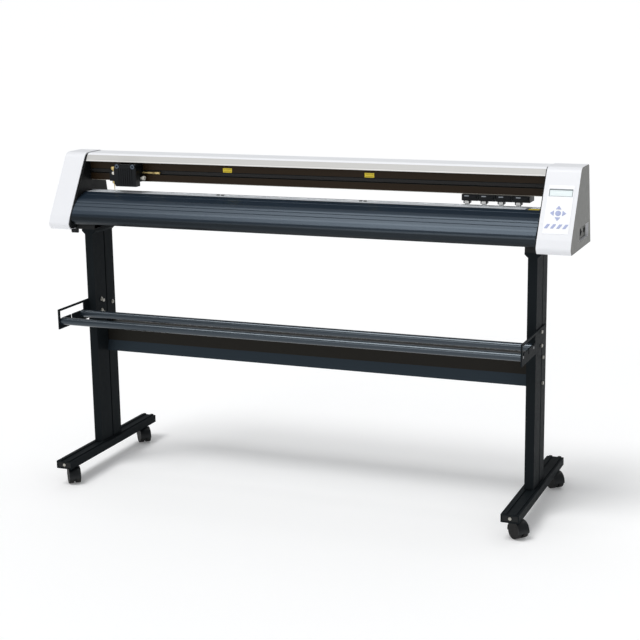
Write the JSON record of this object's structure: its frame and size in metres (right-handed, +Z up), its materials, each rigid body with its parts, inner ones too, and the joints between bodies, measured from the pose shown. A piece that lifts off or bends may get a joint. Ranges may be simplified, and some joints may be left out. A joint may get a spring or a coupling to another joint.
{
  "type": "vinyl cutting plotter",
  "caption": "Wide vinyl cutter on a castered floor stand: drum feed with pinch rollers, belt-driven blade carriage, keypad end cover and a roll cradle below",
  "frame": {"origin": "centre of the footprint, on the floor", "axes": "+X along the width to the operator's right, +Y from the front (keypad side) to the back, +Z up"},
  "size_m": [1.6, 0.534, 0.974],
  "materials": {
    "cover_white": "satin moulded plastic, cool white",
    "top_cover_white": "satin moulded plastic, cool white",
    "platen_slate": "extruded, satin dark slate powder coat",
    "rail_black": "extruded, brown-black anodised",
    "plate_black": "satin black powder coat",
    "stand_black": "fine-textured black powder coat",
    "bolt_steel": "zinc plated",
    "roller_grey": "satin dark grey tube",
    "roller_steel": "ground, knurled in bands",
    "shaft_support": "moulded bearing plastic",
    "hood_black": "moulded nylon",
    "tread_black": "moulded tyre",
    "belt_black": "toothed timing belt",
    "pulley_alloy": "turned",
    "motor_black": "satin black motor case",
    "carriage_black": "moulded, fine texture",
    "holder_brass": "turned",
    "pinch_black": "moulded, fine texture",
    "pinch_white": "moulded pale rubber on a steel pin",
    "panel_film": "printed polyester overlay",
    "key_blue": "embossed key dome",
    "display_glass": "liquid-crystal window on its board",
    "board_green": "laminate with components",
    "socket_black": "moulded",
    "switch_black": "moulded"
  },
  "bodies": {
    "frame": {"carriage_belt": "belt_black", "carriage_motor": "motor_black", "carriage_rail": "rail_black", "control_panel": "panel_film", "crossbeam": "stand_black", "display_module": "display_glass", "feed_belt": "belt_black", "feed_motor": "motor_black", "left_end_cover": "cover_white", "left_foot": "stand_black", "left_leg": "stand_black", "left_media_bracket": "stand_black", "left_side_plate": "plate_black", "main_board": "board_green", "platen": "platen_slate", "rear_sockets": "socket_black", "right_end_cover": "cover_white", "right_foot": "stand_black", "right_leg": "stand_black", "right_media_bracket": "stand_black", "right_side_plate": "plate_black", "roller_supports": "shaft_support", "stand_bolts": "bolt_steel", "top_cover": "top_cover_white"},
    "caster_front_left": {"caster_hood_front_left": "hood_black"},
    "wheels_front_left": {"caster_wheels_front_left": "tread_black"},
    "caster_front_right": {"caster_hood_front_right": "hood_black"},
    "wheels_front_right": {"caster_wheels_front_right": "tread_black"},
    "caster_rear_left": {"caster_hood_rear_left": "hood_black"},
    "wheels_rear_left": {"caster_wheels_rear_left": "tread_black"},
    "caster_rear_right": {"caster_hood_rear_right": "hood_black"},
    "wheels_rear_right": {"caster_wheels_rear_right": "tread_black"},
    "front_roller": {"front_media_roller": "roller_grey"},
    "rear_roller": {"rear_media_roller": "roller_grey"},
    "feed_shaft": {"drive_roller": "roller_steel", "roller_pulley": "pulley_alloy"},
    "feed_pulley": {"feed_motor_pulley": "pulley_alloy"},
    "pinch_unit_1": {"pinch_arm_1": "pinch_black"},
    "pinch_roller_1": {"pinch_wheel_1": "pinch_white"},
    "pinch_unit_2": {"pinch_arm_2": "pinch_black"},
    "pinch_roller_2": {"pinch_wheel_2": "pinch_white"},
    "pinch_unit_3": {"pinch_arm_3": "pinch_black"},
    "pinch_roller_3": {"pinch_wheel_3": "pinch_white"},
    "pinch_unit_4": {"pinch_arm_4": "pinch_black"},
    "pinch_roller_4": {"pinch_wheel_4": "pinch_white"},
    "carriage": {"carriage_body": "carriage_black", "carriage_cover": "carriage_black"},
    "blade": {"blade_holder": "holder_brass"},
    "belt_pulley": {"carriage_drive_pulley": "pulley_alloy"},
    "belt_idler": {"idler_pulley": "pulley_alloy"},
    "key_up_cap": {"key_up": "key_blue"},
    "key_left_cap": {"key_left": "key_blue"},
    "key_enter_cap": {"key_enter": "key_blue"},
    "key_right_cap": {"key_right": "key_blue"},
    "key_down_cap": {"key_down": "key_blue"},
    "key_function_1_cap": {"key_function_1": "key_blue"},
    "key_function_2_cap": {"key_function_2": "key_blue"},
    "key_function_3_cap": {"key_function_3": "key_blue"},
    "key_function_4_cap": {"key_function_4": "key_blue"},
    "rocker": {"power_switch": "switch_black"}
  },
  "joints": [
    {"name": "swivel_front_left", "type": "hinge", "parent": "frame", "child": "caster_front_left", "pos_m": [-0.6885, -0.219, 0.052], "axis": [0, 0, 1], "continuous": true},
    {"name": "roll_front_left", "type": "hinge", "parent": "caster_front_left", "child": "wheels_front_left", "pos_m": [-0.67564, -0.23432, 0.023], "axis": [0.766, 0.6428, 0], "continuous": true},
    {"name": "swivel_front_right", "type": "hinge", "parent": "frame", "child": "caster_front_right", "pos_m": [0.6885, -0.219, 0.052], "axis": [0, 0, 1], "continuous": true},
    {"name": "roll_front_right", "type": "hinge", "parent": "caster_front_right", "child": "wheels_front_right", "pos_m": [0.70382, -0.23186, 0.023], "axis": [0.6428, 0.766, 0], "continuous": true},
    {"name": "swivel_rear_left", "type": "hinge", "parent": "frame", "child": "caster_rear_left", "pos_m": [-0.6885, 0.219, 0.052], "axis": [0, 0, 1], "continuous": true},
    {"name": "roll_rear_left", "type": "hinge", "parent": "caster_rear_left", "child": "wheels_rear_left", "pos_m": [-0.67461, 0.20461, 0.023], "axis": [0.7193, 0.6947, 0], "continuous": true},
    {"name": "swivel_rear_right", "type": "hinge", "parent": "frame", "child": "caster_rear_right", "pos_m": [0.6885, 0.219, 0.052], "axis": [0, 0, 1], "continuous": true},
    {"name": "roll_rear_right", "type": "hinge", "parent": "caster_rear_right", "child": "wheels_rear_right", "pos_m": [0.70239, 0.20461, 0.023], "axis": [0.7193, 0.6947, 0], "continuous": true},
    {"name": "front_roller_spin", "type": "hinge", "parent": "frame", "child": "front_roller", "pos_m": [0, -0.213, 0.497], "axis": [1, 0, 0], "continuous": true},
    {"name": "rear_roller_spin", "type": "hinge", "parent": "frame", "child": "rear_roller", "pos_m": [0, -0.1, 0.497], "axis": [1, 0, 0], "continuous": true},
    {"name": "feed_spin", "type": "hinge", "parent": "frame", "child": "feed_shaft", "pos_m": [0, 0.042, 0.8525], "axis": [1, 0, 0], "continuous": true},
    {"name": "feed_pulley_spin", "type": "hinge", "parent": "frame", "child": "feed_pulley", "pos_m": [0.718, 0.07, 0.7985], "axis": [1, 0, 0], "continuous": true},
    {"name": "pinch_slide_1", "type": "slide", "parent": "frame", "child": "pinch_unit_1", "axis": [1, 0, 0], "range_m": [-1.08, 0]},
    {"name": "pinch_slide_2", "type": "slide", "parent": "frame", "child": "pinch_unit_2", "axis": [1, 0, 0], "range_m": [-0.7201, 0]},
    {"name": "pinch_slide_3", "type": "slide", "parent": "frame", "child": "pinch_unit_3", "axis": [1, 0, 0], "range_m": [-0.3601, 0]},
    {"name": "pinch_slide_4", "type": "slide", "parent": "frame", "child": "pinch_unit_4", "axis": [1, 0, 0], "range_m": [0, 0.044]},
    {"name": "pinch_spin_1", "type": "hinge", "parent": "pinch_unit_1", "child": "pinch_roller_1", "pos_m": [0.475, 0.042, 0.8673], "axis": [1, 0, 0], "continuous": true},
    {"name": "pinch_spin_2", "type": "hinge", "parent": "pinch_unit_2", "child": "pinch_roller_2", "pos_m": [0.524, 0.042, 0.8673], "axis": [1, 0, 0], "continuous": true},
    {"name": "pinch_spin_3", "type": "hinge", "parent": "pinch_unit_3", "child": "pinch_roller_3", "pos_m": [0.573, 0.042, 0.8673], "axis": [1, 0, 0], "continuous": true},
    {"name": "pinch_spin_4", "type": "hinge", "parent": "pinch_unit_4", "child": "pinch_roller_4", "pos_m": [0.622, 0.042, 0.8673], "axis": [1, 0, 0], "continuous": true},
    {"name": "carriage_slide", "type": "slide", "parent": "frame", "child": "carriage", "axis": [1, 0, 0], "range_m": [-0.08, 1.18]},
    {"name": "blade_drop", "type": "slide", "parent": "carriage", "child": "blade", "axis": [0, 0, 1], "range_m": [-0.0035, 0], "stiffness_N_per_m": 400, "springref_m": 0.003},
    {"name": "belt_pulley_spin", "type": "hinge", "parent": "frame", "child": "belt_pulley", "pos_m": [0.75, 0.0565, 0.9175], "axis": [0, 0, 1], "continuous": true},
    {"name": "belt_idler_spin", "type": "hinge", "parent": "frame", "child": "belt_idler", "pos_m": [-0.76, 0.0565, 0.9175], "axis": [0, 0, 1], "continuous": true},
    {"name": "key_up_press", "type": "slide", "parent": "frame", "child": "key_up_cap", "axis": [0, 0.8558, -0.5173], "range_m": [0, 0.0005], "stiffness_N_per_m": 200, "springref_m": -0.002},
    {"name": "key_left_press", "type": "slide", "parent": "frame", "child": "key_left_cap", "axis": [0, 0.8558, -0.5173], "range_m": [0, 0.0005], "stiffness_N_per_m": 200, "springref_m": -0.002},
    {"name": "key_enter_press", "type": "slide", "parent": "frame", "child": "key_enter_cap", "axis": [0, 0.8558, -0.5173], "range_m": [0, 0.0005], "stiffness_N_per_m": 200, "springref_m": -0.002},
    {"name": "key_right_press", "type": "slide", "parent": "frame", "child": "key_right_cap", "axis": [0, 0.8558, -0.5173], "range_m": [0, 0.0005], "stiffness_N_per_m": 200, "springref_m": -0.002},
    {"name": "key_down_press", "type": "slide", "parent": "frame", "child": "key_down_cap", "axis": [0, 0.8558, -0.5173], "range_m": [0, 0.0005], "stiffness_N_per_m": 200, "springref_m": -0.002},
    {"name": "key_function_1_press", "type": "slide", "parent": "frame", "child": "key_function_1_cap", "axis": [0, 0.8558, -0.5173], "range_m": [0, 0.0005], "stiffness_N_per_m": 200, "springref_m": -0.002},
    {"name": "key_function_2_press", "type": "slide", "parent": "frame", "child": "key_function_2_cap", "axis": [0, 0.8558, -0.5173], "range_m": [0, 0.0005], "stiffness_N_per_m": 200, "springref_m": -0.002},
    {"name": "key_function_3_press", "type": "slide", "parent": "frame", "child": "key_function_3_cap", "axis": [0, 0.8558, -0.5173], "range_m": [0, 0.0005], "stiffness_N_per_m": 200, "springref_m": -0.002},
    {"name": "key_function_4_press", "type": "slide", "parent": "frame", "child": "key_function_4_cap", "axis": [0, 0.8558, -0.5173], "range_m": [0, 0.0005], "stiffness_N_per_m": 200, "springref_m": -0.002},
    {"name": "rocker_tilt", "type": "hinge", "parent": "frame", "child": "rocker", "pos_m": [0.791, 0.0525, 0.793], "axis": [0, 1, 0], "range_deg": [-10, 10]}
  ],
  "couplings": [
    {"joint": "feed_pulley_spin", "follows": "feed_spin", "ratio": 2.375},
    {"joint": "pinch_slide_2", "follows": "pinch_slide_1", "ratio": 0.66667},
    {"joint": "pinch_slide_3", "follows": "pinch_slide_1", "ratio": 0.33333},
    {"joint": "pinch_spin_1", "follows": "feed_spin", "ratio": -0.8125},
    {"joint": "pinch_spin_2", "follows": "feed_spin", "ratio": -0.8125},
    {"joint": "pinch_spin_3", "follows": "feed_spin", "ratio": -0.8125},
    {"joint": "pinch_spin_4", "follows": "feed_spin", "ratio": -0.8125},
    {"joint": "belt_pulley_spin", "follows": "carriage_slide", "rad_per_m": 80},
    {"joint": "belt_idler_spin", "follows": "carriage_slide", "rad_per_m": 80}
  ]
}
